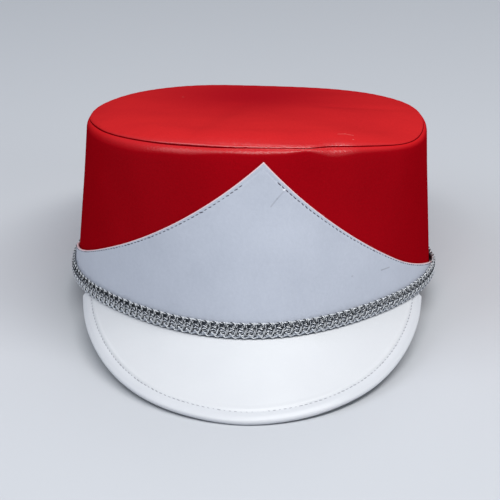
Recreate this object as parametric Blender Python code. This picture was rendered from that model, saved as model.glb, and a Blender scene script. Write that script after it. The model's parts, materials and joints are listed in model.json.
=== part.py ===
"""Marching band hat at rest: an oval vinyl crown, leaning back on its own visor.

Metres, +Z up, front towards -Y. The hat is shaped upright round its base plane, with angles
counted from the front centre towards +X, and then tilted until its visor and back rim touch z = 0.
"""

from math import asin, atan2, cos, exp, hypot, pi, radians, sin

import bmesh
import bpy
from mathutils import Matrix, Vector

# Head opening and the vinyl-covered board round it
HEAD_WIDTH = 0.169
HEAD_DEPTH = 0.200
WALL = 0.002
RIM_BEVEL = 0.0004
BASE_DRAW_IN = 0.057  # share of its reach by which the front of the base oval is drawn in

# Crown, its outer size at the shoulder
CROWN_WIDTH = 0.163
CROWN_DEPTH = 0.199
CROWN_FULLNESS = 0.038  # share by which the top oval is filled out at its diagonals
CROWN_SET_BACK = 0.002
CROWN_SIDE_LEAN = 0.0008
FRONT_HEIGHT = 0.085
BACK_HEIGHT = 0.0665
SHOULDER = 0.004

# Dents of the top seam: where the crown has slumped, and where it stands proud
SLUMP = 0.0043
SLUMP_ANGLE = 63.0
SLUMP_SPREAD = 25.0
CREST = 0.0012
CREST_ANGLE = -150.0
CREST_SPREAD = 37.0

# Top panel
TOP_SHEET = 0.0018
PUFF_HEIGHT = 0.0026
PUFF_WIDTH = 0.008
DOME_HEIGHT = 0.0012
# Puffed edge of the top, from the seam inwards: share of the puff's width, share of its height
PUFF_SHAPE = [(0.08, 0.35), (0.30, 0.72), (0.60, 0.94), (1, 1)]

# Pointed front panel
PANEL_THICKNESS = 0.0011
PANEL_HEIGHT = 0.080
PANEL_WING = 0.185
WING_TIP_HEIGHT = 0.004
PANEL_SWEEP = 0.0193  # how far each edge sags below the straight line from point to wing tip
WING_TAPER = 0.24  # last share of each edge, where the wing tip bends down under the braid
PANEL_SHIFT = 0.0010
PANEL_TURN = 2.4
PANEL_TUCK = 0.0035  # hidden under the braid
PANEL_EDGE_BEVEL = 0.0004

# Braid
BRAID_WIDTH = 0.0074
BRAID_THICKNESS = 0.0020
BRAID_RISE = 0.0008  # above the base plane
BRAID_WAVE = 0.0003
BRAID_PITCH = 0.0040
BRAID_LOOP = 0.0005  # how far the loops stand out past the valleys between them
BRAID_STEP = 0.010  # length in which the braid comes down off the panel's wing tips

# Visor
VISOR_LENGTH = 0.0414
VISOR_ANGLE = 65.5
VISOR_SLOPE = 38.0
VISOR_THICKNESS = 0.0024
VISOR_END = 0.0025
VISOR_POWER = 1.67  # above 1, so that the outline is round in front
VISOR_RIM_RADIUS = 0.0014
VISOR_BORDER = 0.0060
VISOR_BORDER_DROP = 0.0004

# Clearance between sewn or glued faces
GAP = 0.0003

# Number of facets
AROUND = 96
SHOULDER_STEPS = 4
TOP_RINGS = 4
PANEL_COLUMNS = 36
VISOR_COLUMNS = 66
RIM_STEPS = 6
TABLE_STEPS = 720

RED = (0.42, 0.012, 0.018, 1)
BRIGHT_RED = (0.55, 0.02, 0.022, 1)
WHITE = (0.82, 0.84, 0.88, 1)
SILVER = (0.72, 0.72, 0.70, 1)


def clear_scene():
    for obj in list(bpy.data.objects):
        bpy.data.objects.remove(obj, do_unlink=True)


def material(name, colour, roughness, metallic=0.0):
    mat = bpy.data.materials.new(name)
    mat.use_nodes = True
    shader = mat.node_tree.nodes["Principled BSDF"]
    shader.inputs["Base Color"].default_value = colour
    shader.inputs["Roughness"].default_value = roughness
    shader.inputs["Metallic"].default_value = metallic
    return mat


def join_rings(bm, rings):
    """Faces between each ring of vertices and the next."""
    for here, there in zip(rings, rings[1:]):
        for i in range(len(here)):
            j = (i + 1) % len(here)
            bm.faces.new((here[i], here[j], there[j], there[i]))


def loft(name, sections, mat, closed):
    """Skins a row of equal closed sections, round to the first one or capped at both ends."""
    bm = bmesh.new()
    rings = [[bm.verts.new(p) for p in section] for section in sections]
    if closed:
        rings.append(rings[0])
    else:
        bm.faces.new(rings[0])
        bm.faces.new(rings[-1])
    join_rings(bm, rings)
    return finish_mesh(name, bm, mat)


def finish_mesh(name, bm, mat):
    bmesh.ops.recalc_face_normals(bm, faces=bm.faces)
    mesh = bpy.data.meshes.new(name)
    bm.to_mesh(mesh)
    bm.free()
    mesh.shade_smooth()
    mesh.set_sharp_from_angle(angle=radians(35))
    mesh.materials.append(mat)
    obj = bpy.data.objects.new(name, mesh)
    bpy.context.collection.objects.link(obj)
    return obj


def oval(angle, width, depth, fullness):
    """A point of an oval whose diagonals are filled out, or drawn in, by a share of their reach."""
    reach = 1 + fullness * sin(2 * angle) ** 2
    return Vector((width / 2 * reach * sin(angle), -depth / 2 * reach * cos(angle), 0))


def base_line(angle):
    """The base's outer edge, narrower at the forehead than behind, as heads are."""
    forehead = (1 + cos(angle)) / 2
    return oval(angle, HEAD_WIDTH + 2 * WALL, HEAD_DEPTH + 2 * WALL, -BASE_DRAW_IN * forehead)


def crown_line(angle):
    """The shoulder's outer edge, seen from above: the crown has settled a little back and aside."""
    settled = Vector((CROWN_SIDE_LEAN, CROWN_SET_BACK, 0))
    return oval(angle, CROWN_WIDTH, CROWN_DEPTH, CROWN_FULLNESS) + settled


def outward(line, angle):
    """The level direction square to a line of the hat."""
    along = line(angle + 0.001) - line(angle - 0.001)
    return Vector((along.y, -along.x, 0)).normalized()


def bump(angle, centre, spread):
    """1 at the centre and fading away on both sides of it; centre and spread in degrees."""
    offset = (angle - radians(centre) + pi) % (2 * pi) - pi
    return exp(-((offset / radians(spread)) ** 2))


def crown_height(angle):
    middle = (FRONT_HEIGHT + BACK_HEIGHT) / 2
    lean = (FRONT_HEIGHT - BACK_HEIGHT) / 2
    slump = SLUMP * bump(angle, SLUMP_ANGLE, SLUMP_SPREAD)
    crest = CREST * bump(angle, CREST_ANGLE, CREST_SPREAD)
    return middle + lean * cos(angle) - slump + crest


def on_wall(angle, height, offset):
    """A point at a height on the straight side of the crown, moved outwards by an offset."""
    share = height / crown_height(angle)
    point = base_line(angle).lerp(crown_line(angle), share)
    normal = outward(base_line, angle).lerp(outward(crown_line, angle), share).normalized()
    return point + normal * offset + Vector((0, 0, height))


def ease(share):
    """0 up to share 0, 1 from share 1, and a smooth way between."""
    share = min(max(share, 0), 1)
    return share * share * (3 - 2 * share)


def turns(count):
    return [2 * pi * i / count for i in range(count)]


def arc_table():
    """Lengths along the base line from the front centre, at even steps of angle, up to the back."""
    lengths = [0.0]
    for i in range(TABLE_STEPS):
        step = base_line(pi * (i + 1) / TABLE_STEPS) - base_line(pi * i / TABLE_STEPS)
        lengths.append(lengths[-1] + step.length)
    return lengths


def angle_at(arc, lengths):
    """The angle that lies a given length along the base line, to either side of the front."""
    reach = min(abs(arc), lengths[-1])
    i = 0
    while i < len(lengths) - 2 and lengths[i + 1] < reach:
        i += 1
    share = (reach - lengths[i]) / (lengths[i + 1] - lengths[i])
    angle = pi * (i + share) / TABLE_STEPS
    return angle if arc >= 0 else -angle


# Crown


def crown_wall(mat):
    sections = []
    for angle in turns(AROUND):
        height = crown_height(angle)
        section = [(-RIM_BEVEL, 0), (0, RIM_BEVEL)]
        for i in range(SHOULDER_STEPS + 1):
            turn = pi / 2 * i / SHOULDER_STEPS
            inset = (WALL - GAP) * (1 - cos(turn))
            section.append((-inset, height - SHOULDER * (1 - sin(turn))))
        section += [(-WALL, height), (-WALL, RIM_BEVEL), (RIM_BEVEL - WALL, 0)]
        sections.append([on_wall(angle, z, offset) for offset, z in section])
    return loft("crown_wall", sections, mat, closed=True)


def top_point(angle, inset, rise):
    """A point inside the seam, at a height above it."""
    point = crown_line(angle) - outward(crown_line, angle) * inset
    return point + Vector((0, 0, crown_height(angle) + rise))


def crown_top(mat):
    """A sheet let into the crown: its edge puffs up beside the seam, its middle is nearly flat."""
    bm = bmesh.new()
    upper = top_skin(bm, 0, 0)
    under = top_skin(bm, TOP_SHEET, TOP_SHEET / 2)
    join_rings(bm, [upper, under])
    return finish_mesh("crown_top", bm, mat)


def top_skin(bm, depth, tuck):
    """One side of the top sheet, set down by a depth, its puff tucked in; returns its edge ring."""
    seam = WALL + GAP
    rings = [[top_point(angle, seam, -GAP - depth) for angle in turns(AROUND)]]
    for share, lift in PUFF_SHAPE:
        inset = seam + tuck + share * PUFF_WIDTH
        rise = lift * PUFF_HEIGHT - depth
        rings.append([top_point(angle, inset, rise) for angle in turns(AROUND)])
    edge = rings[-1]
    centre = sum(edge, Vector()) / AROUND + Vector((0, 0, DOME_HEIGHT))
    for i in range(1, TOP_RINGS):
        share = i / TOP_RINGS
        rings.append([p.lerp(centre, share) + dome(share) for p in edge])
    rings = [[bm.verts.new(p) for p in ring] for ring in rings]
    middle = bm.verts.new(centre)
    join_rings(bm, rings)
    for i in range(AROUND):
        bm.faces.new((rings[-1][i], rings[-1][(i + 1) % AROUND], middle))
    return rings[0]


def dome(share):
    """Lift that turns the straight way up to the middle into a low round dome."""
    return Vector((0, 0, DOME_HEIGHT * share * (1 - share)))


# Front panel


def panel_edge(share):
    """Height and half width on one edge, from the point at 0 to the wing tip at 1."""
    point = Vector((0, PANEL_HEIGHT))
    chord = Vector((PANEL_WING, WING_TIP_HEIGHT)) - point
    inwards = Vector((chord.y, -chord.x)).normalized()
    return point + chord * share + inwards * 4 * PANEL_SWEEP * share * (1 - share)


def panel_place(share, side):
    """Arc along the base and height of an edge point, with the panel shifted and turned."""
    across, up = panel_edge(share)
    across *= side
    turn = radians(PANEL_TURN)
    arc = PANEL_SHIFT + across * cos(turn) + up * sin(turn)
    height = up * cos(turn) - across * sin(turn)
    bent = ease((share - 1) / WING_TAPER + 1)
    return Vector((arc, height + (panel_foot() - height) * bent))


def panel_foot():
    return BRAID_RISE + BRAID_WIDTH - PANEL_TUCK


def wing_reach(side):
    """Share of an edge at which it comes down to the panel's hidden foot."""
    share = 1.0
    while panel_place(share, side).y < panel_foot() + PANEL_THICKNESS:
        share -= 0.005
    return share


def front_panel(mat, lengths):
    edge = []
    for side in (-1, 1):
        reach = wing_reach(side)
        half = [panel_place(reach * i / PANEL_COLUMNS, side) for i in range(PANEL_COLUMNS + 1)]
        edge += half[:0:-1] if side < 0 else half
    sections = []
    for arc, top in edge:
        angle = angle_at(arc, lengths)
        face = GAP + PANEL_THICKNESS
        section = [(GAP, panel_foot()), (face, panel_foot())]
        section += [(face, top - PANEL_EDGE_BEVEL), (face - PANEL_EDGE_BEVEL, top), (GAP, top)]
        sections.append([on_wall(angle, z, offset) for offset, z in section])
    return loft("front_panel", sections, mat, closed=False)


# Braid


def braid_foot(angle):
    return BRAID_RISE + BRAID_WAVE * (sin(angle) + 0.5 * sin(2 * angle))


def braid_seat(arc):
    """How far the braid's back stands off the wall: over the panel, or on the wall itself."""
    side = 1 if arc > 0 else -1
    tip = abs(panel_place(wing_reach(side), side).x) + GAP
    return GAP + (PANEL_THICKNESS + GAP) * (1 - ease((abs(arc) - tip) / BRAID_STEP))


def trim_braid(mat, lengths):
    """One band round the base, with a loop and a valley at each repeat of the braid."""
    round_base = 2 * lengths[-1]
    repeats = round(round_base / BRAID_PITCH)
    sections = []
    for i in range(2 * repeats):
        arc = (i / (2 * repeats) - 0.5) * round_base
        angle = angle_at(arc, lengths)
        out = BRAID_LOOP * (i % 2)
        back = braid_seat(arc)
        foot = braid_foot(angle)
        face = back + BRAID_THICKNESS - BRAID_LOOP + out
        top = foot + BRAID_WIDTH - BRAID_LOOP + out
        curl = BRAID_THICKNESS / 2
        section = [(back, foot), (face - curl / 2, foot), (face, foot + curl)]
        section += [(face, top - curl), (face - curl, top), (back, top)]
        sections.append([on_wall(angle, z, offset) for offset, z in section])
    return loft("trim_braid", sections, mat, closed=True)


# Visor


def visor_length(angle):
    along = abs(angle) / radians(VISOR_ANGLE)
    return VISOR_END + (VISOR_LENGTH - VISOR_END) * (1 - along**VISOR_POWER)


def visor_section(angle):
    """Lengths down the slope and heights square to it, round the visor's closed section."""
    length = visor_length(angle)
    border = min(VISOR_BORDER, length / 2)
    radius = min(VISOR_RIM_RADIUS, length / 4)
    drop = VISOR_BORDER_DROP * border / VISOR_BORDER
    section = [(0, 0), ((length - border) / 2, 0), (length - border, 0)]
    for i in range(RIM_STEPS + 1):
        turn = pi / 2 - pi * i / RIM_STEPS
        section.append((length - radius + radius * cos(turn), radius * (sin(turn) - 1) - drop))
    section += [(length - border, -VISOR_THICKNESS), (0, -VISOR_THICKNESS)]
    return section


def on_visor(angle, down, square):
    """A point down the visor's slope from its seat under the braid."""
    slope = radians(VISOR_SLOPE)
    normal = outward(base_line, angle)
    root = base_line(angle) + normal * (GAP + VISOR_THICKNESS * sin(slope))
    root.z = braid_foot(angle) - GAP
    fall = normal * cos(slope) - Vector((0, 0, sin(slope)))
    face = normal * sin(slope) + Vector((0, 0, cos(slope)))
    return root + fall * down + face * square


def visor(mat):
    sections = []
    for i in range(VISOR_COLUMNS + 1):
        angle = radians(VISOR_ANGLE) * (2 * i / VISOR_COLUMNS - 1)
        sections.append([on_visor(angle, down, square) for down, square in visor_section(angle)])
    return loft("visor", sections, mat, closed=False)


# Rest on the surface


def resting_tilt():
    """Angle by which the hat leans back when its visor's rim and its back rim both touch down."""
    rim = VISOR_LENGTH - VISOR_RIM_RADIUS
    centre = on_visor(0, rim, -VISOR_RIM_RADIUS - VISOR_BORDER_DROP)
    back = base_line(pi)
    span = back.y - RIM_BEVEL - centre.y
    return atan2(-centre.z, span) + asin(VISOR_RIM_RADIUS / hypot(span, centre.z))


def set_down(objects):
    """Leans the hat back and puts the middle of its lowest face at the origin."""
    lean = Matrix.Rotation(-resting_tilt(), 4, "X")
    for obj in objects:
        obj.data.transform(lean)
    points = [v.co for obj in objects for v in obj.data.vertices]
    low = Vector([min(p[i] for p in points) for i in range(3)])
    high = Vector([max(p[i] for p in points) for i in range(3)])
    foot = Vector(((low.x + high.x) / 2, (low.y + high.y) / 2, low.z))
    for obj in objects:
        obj.data.transform(Matrix.Translation(-foot))


def build():
    clear_scene()
    lengths = arc_table()
    objects = [
        crown_wall(material("red_vinyl", RED, 0.45)),
        crown_top(material("bright_red_vinyl", BRIGHT_RED, 0.45)),
        front_panel(material("white_vinyl", WHITE, 0.35), lengths),
        trim_braid(material("silver_braid", SILVER, 0.35, 1.0), lengths),
        visor(material("white_visor_vinyl", WHITE, 0.25)),
    ]
    set_down(objects)


build()
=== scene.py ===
"""The looks of a marching band hat: vinyl crown, pointed front panel, silver gimp braid and visor.

Metres, +Z up, front towards -Y. The hat is shaped upright round its base plane, with angles counted
from the front centre towards +X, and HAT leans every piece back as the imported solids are.
"""

import json
from bisect import bisect_right
from math import cos, exp, pi, radians, sin

import bmesh
import bpy
from mathutils import Matrix, Vector, kdtree, noise
from mathutils.geometry import intersect_point_line


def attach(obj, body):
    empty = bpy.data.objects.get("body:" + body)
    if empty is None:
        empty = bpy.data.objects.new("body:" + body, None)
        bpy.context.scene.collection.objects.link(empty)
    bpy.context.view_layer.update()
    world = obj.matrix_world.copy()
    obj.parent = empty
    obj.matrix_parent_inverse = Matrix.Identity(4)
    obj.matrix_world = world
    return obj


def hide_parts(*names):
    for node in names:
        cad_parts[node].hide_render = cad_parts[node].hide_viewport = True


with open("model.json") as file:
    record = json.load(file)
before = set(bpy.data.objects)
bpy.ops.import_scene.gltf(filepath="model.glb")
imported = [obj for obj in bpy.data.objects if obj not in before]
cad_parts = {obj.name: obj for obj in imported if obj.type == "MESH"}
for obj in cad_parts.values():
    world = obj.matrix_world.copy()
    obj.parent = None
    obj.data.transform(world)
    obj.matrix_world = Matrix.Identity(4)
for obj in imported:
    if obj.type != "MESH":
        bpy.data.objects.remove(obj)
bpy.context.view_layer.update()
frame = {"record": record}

# Head opening and wall
HEAD_WIDTH = 0.169
HEAD_DEPTH = 0.200
WALL = 0.002
RIM_BEVEL = 0.0004
BASE_DRAW_IN = 0.057
GAP = 0.0003
# Rows inside the wall, as shares of its height
INSIDE_ROWS = (0.66, 0.33)

# Crown
CROWN_WIDTH = 0.163
CROWN_DEPTH = 0.199
CROWN_FULLNESS = 0.038
CROWN_SET_BACK = 0.002
CROWN_SIDE_LEAN = 0.0017
FRONT_HEIGHT = 0.085
BACK_HEIGHT = 0.0665
# Dents of the top seam: height, and the angle and spread that it has round the crown in degrees
SLUMP = (-0.0043, 63.0, 25.0)
CREST = (0.0012, -150.0, 37.0)

# The seam, by the angle from the front in degrees: how tall and how deep the rounding below it is,
# and how far it gapes
SEAM_FORM = [
    (-180, 0.0034, 0.0017, -0.0003),
    (-118, 0.0034, 0.0016, -0.0003),
    (-84, 0.0034, 0.0012, -0.0003),
    (-62, 0.0042, 0.0022, 0.0001),
    (-40, 0.0048, 0.0032, 0.0004),
    (-24, 0.0038, 0.0028, 0.0009),
    (-9, 0.0026, 0.0020, 0.0005),
    (1, 0.0032, 0.0024, 0.0001),
    (9, 0.0028, 0.0022, 0.0001),
    (16, 0.0014, 0.0013, 0.0003),
    (25, 0.0042, 0.0032, 0.0008),
    (34, 0.0028, 0.0024, 0.0002),
    (60, 0.0022, 0.0018, -0.0001),
    (80, 0.0028, 0.0017, -0.0002),
    (100, 0.0034, 0.0017, -0.0003),
]
ROUNDING_FLATNESS = 0.4
SEAM_DEPTH = 0.0018
# Puffed lip of the top, from the seam inwards: distance and height above the wall's edge
LIP_FORM = [
    (0.0, -0.0018),
    (0.0, -0.0008),
    (0.0, 0.0),
    (0.00005, 0.0002),
    (0.0002, 0.0006),
    (0.0007, 0.0010),
    (0.0016, 0.00135),
    (0.0032, 0.0017),
    (0.0055, 0.0022),
    (0.0082, 0.0028),
    (0.0110, 0.0032),
    (0.0140, 0.0034),
    (0.0165, 0.00345),
]
TUCKED_ROWS = 3
POLISHED_ROWS = 9
POLISH_FADE_ROWS = 3
# How fast the side's polish grows up its rounding, and how late it starts
POLISH_GROWTH = 1.25
POLISH_DELAY = 0.12
# Polish that the flat vinyl has left, where its folds have 1
FLAT_POLISH = 0.02
# Faint troughs of the top, each from one point to another of the upright hat
TOP_TROUGHS = [((0.038, 0.013), (0.072, 0.014)), ((-0.026, -0.076), (-0.008, 0.016))]
TROUGH_DEPTH = 0.0007
TROUGH_WIDTH = 0.006
# Where the top is darkened with painted shade: the middle, and the reach across and from front to
# back
PAINTED_SHADE_PLACE = (0.0, 0.075)
PAINTED_SHADE_REACH = (0.052, 0.065)
TOP_SHEET = 0.0016
TOP_DOME = 0.0003
# Puckers beside the seam: height, number, how they drift together and apart, and rows to fade in
PUCKER = 0.00003
PUCKERS = 70
PUCKER_DRIFT = 4
PUCKER_DRIFTS = 5
PUCKER_ROWS = 4

# Front panel
PANEL_THICKNESS = 0.0011
PANEL_HEIGHT = 0.080
PANEL_WING = 0.185
WING_TIP_HEIGHT = 0.004
PANEL_SWEEP = 0.0193
WING_TAPER = 0.24
# How far each wing has settled, downwards on the left and upwards on the right, and the share of
# the edge where that starts and over which it grows
WING_SETTLE = {-1: -0.0012, 1: 0.0024}
WING_SETTLE_START = 0.45
WING_SETTLE_REACH = 0.25
WING_SEARCH_STEP = 0.005
PANEL_SHIFT = 0.0010
PANEL_TURN = 2.4
PANEL_TUCK = 0.0035
EDGE_ROUNDING = 0.0003
BACK_ROUNDING = 0.0002
HEM_WIDTH = 0.0019
WING_HEM_WIDTH = 0.0007
HEM_TAPER = 0.6
HEM_ZONE = 0.0060
HEM_ZONE_SHARE = 0.6
HEM_RISE = 0.00003
HEM_FALL = 0.0009
# Forms along the stitches: distance inwards from them, spread and height
HEM_GROOVE = (0.0, 0.0003, -0.00010)
HEM_SWELL = (0.0012, 0.0010, 0.00004)

# Braid
BRAID_WIDTH = 0.0074
BRAID_RISE = 0.0008
BRAID_WAVE = 0.0003
BRAID_REPEATS = 148
BRAID_STEP = 0.010
BRAID_SETTLE = 0.00025
# The woven band under the cords: how far out and how far up each row is, and its silver strip
BAND_SECTION = [
    (0.0, -0.0002),
    (0.0006, -0.0001),
    (0.0006, 0.0006),
    (0.0005, 0.0023),
    (0.0005, 0.0040),
    (0.0004, 0.0063),
    (0.0, 0.0063),
]
SILVER_STRIP = 2
# Thicknesses of its cords, and how far the plies lie apart
LOOP_CORD = 0.00044
WEAVER_CORD = 0.00042
THIN_WEAVER_CORD = 0.00036
EDGE_CORD = 0.00048
PLY_SPREAD = 0.5
HEADING_STEP = 0.1
# Rows of loops: middle, height (below 0 they hang), width in repeats, and how far they stand out
TOP_LOOPS = (0.0058, 0.0014, 0.62, 0.0010)
MIDDLE_LOOPS = (0.0043, 0.0008, 0.45, 0.0010)
LOW_LOOPS = (0.0032, -0.0010, 0.45, 0.0010)
INNER_LOOPS = (0.0020, 0.0005, 0.34, 0.0009)
LOOP_SWAY = 0.0003
LOOP_UNEVEN = 0.25
LOOP_PACE = 0.7
LOOP_SEED = 1000
# Cords woven up and down: how far each lags, in repeats, and the swing and form that they share
WEAVER_LAG = 0.42
THIN_WEAVER_LAG = 0.56
WEAVER_SWING = 0.21
WEAVER_DRIFT = 0.3
WEAVER_MIDDLE = 0.0041
WEAVER_HEIGHT = 0.0029
WEAVER_OUT = 0.0008
WEAVER_SWAY = 0.0006
WEAVER_UNEVEN = 0.2
WEAVER_PACE = 0.6
WEAVER_SEED = 10
# The scalloped cord at the foot: height, drop, and how far it stands out
SCALLOPS = (0.0014, 0.0008, 0.0009)

# Visor
VISOR_LENGTH = 0.0414
VISOR_ANGLE = 65.5
VISOR_SLOPE = 38.0
VISOR_THICKNESS = 0.0024
VISOR_END = 0.0025
VISOR_POWER = 1.67
VISOR_RIM_RADIUS = 0.0014
VISOR_BORDER = 0.0054
BORDER_FADE = 0.0006
# Swell, stitched groove and ridge of its face: distance from the rim, spread and height
VISOR_FORM = [
    (0.0032, 0.0014, 0.00022),
    (VISOR_BORDER, 0.0004, -0.00030),
    (0.0068, 0.0008, 0.00016),
]

# Slow waves of the surfaces: size and height
SIDE_WAVES = (0.035, 0.0004)
TOP_WAVES = (0.045, 0.0009)
PANEL_WAVES = (0.03, 0.00025)
VISOR_WAVES = (0.03, 0.0003)
VISOR_WAVES_START = 0.01

# Stitches
STITCH_PITCH = 0.0024
STITCH_LENGTH = 0.0017
STITCH_THICKNESS = 0.00045
STITCH_SLANT = 0.35
STITCH_LEAN = 0.4
STITCH_UNEVEN = 0.5
# How quickly their slant and their size change from place to place
SLANT_PACE = 400
SIZE_PACE = 300
# Points of the panel's hem line, and how many are left out at its start and its end
HEM_POINTS = 300
HEM_START = 22
HEM_END = 8

# Marks of use, as points on the upright hat
PANEL_CREASE = [(0.0146, -0.0985, 0.0671), (0.0116, -0.0992, 0.0637), (0.0090, -0.0997, 0.0604)]
PANEL_SCUFF = [(0.0589, -0.0715, 0.0223), (0.0627, -0.0670, 0.0222)]
PANEL_DARK_FLECK = (0.0452, -0.0844, 0.0237)
PANEL_BRIGHT_FLECK = (0.0146, -0.0985, 0.0678)
TOP_SCRATCH = [(0.0382, -0.0736, 0.0859), (0.0414, -0.0714, 0.0855), (0.0450, -0.0712, 0.0848)]
TOP_FLECKS = [(0.0448, -0.0765, 0.0842), (-0.0363, 0.0397, 0.0757)]

# Colours, as a dark and a light one where a finish is cloudy
# The side and the top are one red vinyl: the side's reds are darker as painted shade, and the top's
# lighter as painted light
SIDE_PAINTED_SHADE_REDS = ((0.25, 0.0008, 0.004), (0.35, 0.0014, 0.006))
# Painted light: a paler red up the side's rounding, where it turns up towards the light
SHOULDER_PAINTED_LIGHT_RED = (0.66, 0.016, 0.020)
# Painted shade: a deeper red in the seam, where the vinyl tucks in
SEAM_PAINTED_SHADE_RED = (0.20, 0.0005, 0.003)
TOP_PAINTED_LIGHT_REDS = ((0.46, 0.014, 0.018), (0.64, 0.022, 0.023))
# Painted shade: a deeper red over the middle and back of the top
TOP_PAINTED_SHADE_RED = (0.37, 0.006, 0.012)
SCRATCHED_RED = (0.85, 0.35, 0.30)
PANEL_WHITES = ((0.42, 0.455, 0.53), (0.58, 0.615, 0.695))
# Painted highlight: the panel's top edge catching the light, pink from the red beside it
EDGE_PAINTED_HIGHLIGHT_PINK = (0.80, 0.55, 0.58)
DIRT_GREY = (0.16, 0.16, 0.20)
FLECK_WHITE = (0.95, 0.95, 0.98)
VISOR_WHITES = ((0.63, 0.645, 0.67), (0.70, 0.715, 0.735))
BORDER_WHITE = (0.50, 0.53, 0.59)
BACKING_GREYS = ((0.42, 0.41, 0.39), (0.55, 0.54, 0.52))
# Painted glints and painted dark reflections: the near-white and the near-black plies of one silver
PAINTED_GLINT_SILVER = (0.94, 0.97, 1.0)
SILVER = (0.62, 0.66, 0.73)
PAINTED_DARK_REFLECTION_SILVER = (0.04, 0.047, 0.06)
# The band's dark thread, darkened further as painted shade between the cords
BAND_THREAD_AND_SHADE_GREY = (0.12, 0.135, 0.16)
GREY_THREAD = (0.12, 0.11, 0.15)
WHITE_THREAD = (0.40, 0.41, 0.45)
# Share of its light colour that the dark of a gimp cord, or of a thread, has
GIMP_SHADE = 0.55
THREAD_SHADE = 0.7

# How sharply the painted shade comes in at the tucked rows, and how late
TUCK_SHARPNESS = 6
TUCK_DELAY = 2.5
# The slant at which the vinyl's gloss starts to fade, and how fast it does
FADE_SLANT = 0.25
FADE_SPEED = 2.5
# Colour sockets of a Mix node
MIX_FIRST = 6
MIX_SECOND = 7
MIX_RESULT = 2

# Numbers of facets and of points on lines
AROUND = 384
WALL_ROWS = 26
SHOULDER_ROWS = 12
TOP_ROWS = 20
PANEL_COLUMNS = 180
HEM_ROWS = 14
PANEL_ROWS = 26
VISOR_COLUMNS = 440
VISOR_FACE_ROWS = 64
VISOR_RIM_ROWS = 8
VISOR_UNDER_ROWS = 6
RIM_POINTS = 3000
VISOR_STITCH_POINTS = 600
HALVINGS = 20
TABLE_STEPS = 1440

# The photograph's viewpoint
CAMERA_PLACE = (0.0134, -0.7848, 0.3871)
CAMERA_TARGET = (-0.0010, 0.01474, 0.01983)
CAMERA_LENS = 128.4
CAMERA_SENSOR = 36
CAMERA_NEAREST = 0.05

# Studio: each light's name, place, width, depth, power and colour
LIGHTS = [
    ("key_light", (0.30, -0.60, 1.28), 1.7, 0.3, 19, (1.0, 0.99, 0.97)),
    ("left_fill", (-1.0, -0.5, 1.1), 1.0, 1.0, 8.0, (0.93, 0.96, 1.0)),
    ("right_fill", (1.3, -0.8, 0.6), 0.8, 0.8, 5.0, (0.97, 0.98, 1.0)),
    ("back_light", (0.2, 0.9, 1.3), 0.6, 0.6, 3, (0.95, 0.97, 1.0)),
]
LIGHTS_AIM = (0, 0, 0.04)
FLOOR_SIZE = 12
FLOOR_GREY = (0.56, 0.58, 0.61, 1)
SKY_BLUE = (0.62, 0.72, 0.92, 1)
SKY_STRENGTH = 0.20


# The hat's own shape


def oval(angle, width, depth, fullness):
    """A point of an oval whose diagonals are filled out, or drawn in, by a share of their reach."""
    reach = 1 + fullness * sin(2 * angle) ** 2
    return Vector((width / 2 * reach * sin(angle), -depth / 2 * reach * cos(angle), 0))


def base_line(angle):
    forehead = (1 + cos(angle)) / 2
    return oval(angle, HEAD_WIDTH + 2 * WALL, HEAD_DEPTH + 2 * WALL, -BASE_DRAW_IN * forehead)


def crown_line(angle):
    settled = Vector((CROWN_SIDE_LEAN, CROWN_SET_BACK, 0))
    return oval(angle, CROWN_WIDTH, CROWN_DEPTH, CROWN_FULLNESS) + settled


def outward(line, angle):
    """The level direction square to a line of the hat."""
    along = line(angle + 0.001) - line(angle - 0.001)
    return Vector((along.y, -along.x, 0)).normalized()


def ease(share):
    share = min(max(share, 0), 1)
    return share * share * (3 - 2 * share)


def ridge(distance, middle, spread, height):
    """Height of a soft ridge, or of a groove below 0, at a distance across it."""
    return height * exp(-(((distance - middle) / spread) ** 2))


def ripple(point, size, height):
    """Even, slow waves of a surface: noise of a given size of wave and height."""
    return height * noise.noise(point / size)


def dent(form, angle):
    """Height of one dent of the seam at an angle."""
    height, centre, spread = form
    offset = (angle - radians(centre) + pi) % (2 * pi) - pi
    return ridge(offset, 0, radians(spread), height)


def seam_dents(angle):
    return dent(SLUMP, angle) + dent(CREST, angle)


def crown_height(angle):
    middle = (FRONT_HEIGHT + BACK_HEIGHT) / 2
    lean = (FRONT_HEIGHT - BACK_HEIGHT) / 2
    return middle + lean * cos(angle) + seam_dents(angle)


def on_wall(angle, height, offset):
    """A point at a height on the straight side of the crown, moved outwards by an offset."""
    share = height / crown_height(angle)
    point = base_line(angle).lerp(crown_line(angle), share)
    normal = outward(base_line, angle).lerp(outward(crown_line, angle), share).normalized()
    return point + normal * offset + Vector((0, 0, height))


def seam_form(angle):
    """Height and depth of the rounding below the seam, and the seam's gape, at an angle."""
    degrees = (angle * 180 / pi + 180) % 360 - 180
    row = bisect_right([r[0] for r in SEAM_FORM], degrees) - 1
    start = SEAM_FORM[row]
    end = SEAM_FORM[(row + 1) % len(SEAM_FORM)]
    share = ease((degrees - start[0]) / ((end[0] - start[0]) % 360))
    return [a + (b - a) * share for a, b in zip(start[1:], end[1:])]


def arc_table():
    """Lengths along the base line from the front centre to the back, at even steps of angle."""
    lengths = [0.0]
    for i in range(TABLE_STEPS):
        step = base_line(pi * (i + 1) / TABLE_STEPS) - base_line(pi * i / TABLE_STEPS)
        lengths.append(lengths[-1] + step.length)
    return lengths


ARCS = arc_table()


def angle_at(arc):
    """The angle that lies a given length along the base line, to either side of the front."""
    side = 1 if arc >= 0 else -1
    reach = min(abs(arc), ARCS[-1])
    i = min(bisect_right(ARCS, reach) - 1, TABLE_STEPS - 1)
    share = (reach - ARCS[i]) / (ARCS[i + 1] - ARCS[i])
    return side * pi * (i + share) / TABLE_STEPS


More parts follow.
